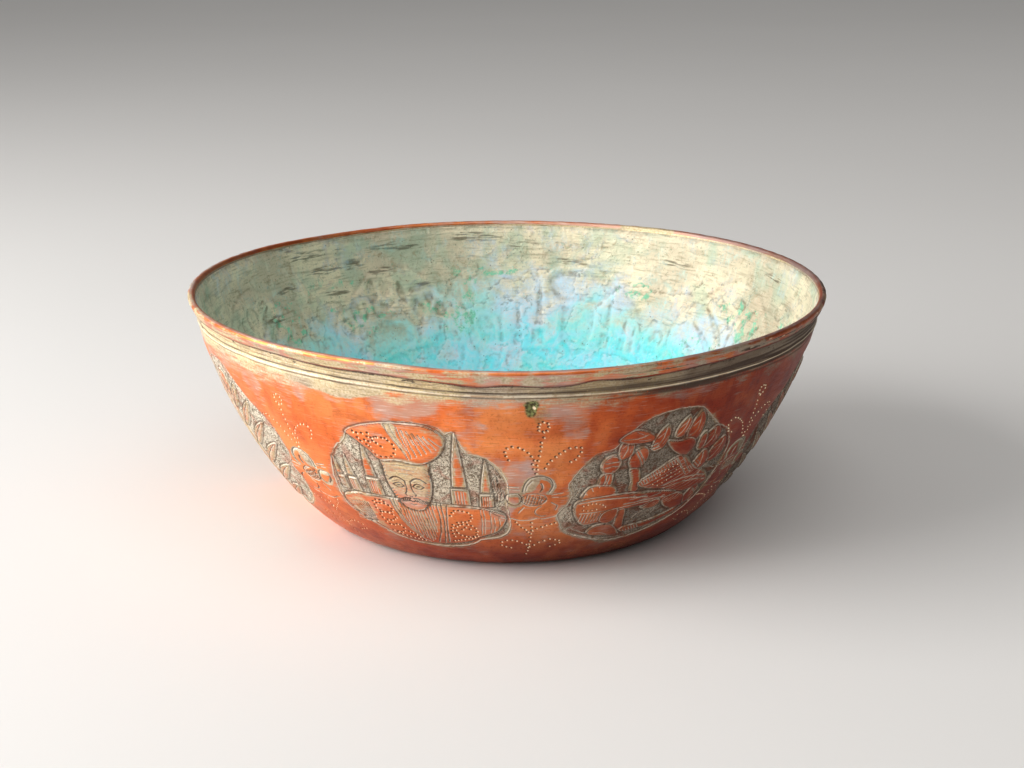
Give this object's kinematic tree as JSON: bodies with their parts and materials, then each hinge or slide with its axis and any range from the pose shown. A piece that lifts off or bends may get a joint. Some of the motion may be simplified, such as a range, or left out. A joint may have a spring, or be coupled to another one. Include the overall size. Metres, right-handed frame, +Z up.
{
  "type": "bowl",
  "caption": "Raised copper bowl with a wired hem, a tinned inside and chased figure and leaf medallions round a flared wall on a flat base.",
  "frame": {"origin": "middle of the resting face, under the bowl", "axes": "+Z up out of the mouth, -Y towards the front of the picture, +X to its right"},
  "size_m": [0.22, 0.22, 0.0779],
  "materials": {
    "copper": "hand worked, rubbed bright on the high places and stained in the chased ground",
    "wire": "drawn, dull",
    "tin": "wiped tin, dull, with green and blue corrosion low down"
  },
  "bodies": {
    "root": {"copper_shell": "copper", "rim_wire": "wire", "tin_lining": "tin"}
  },
  "joints": []
}
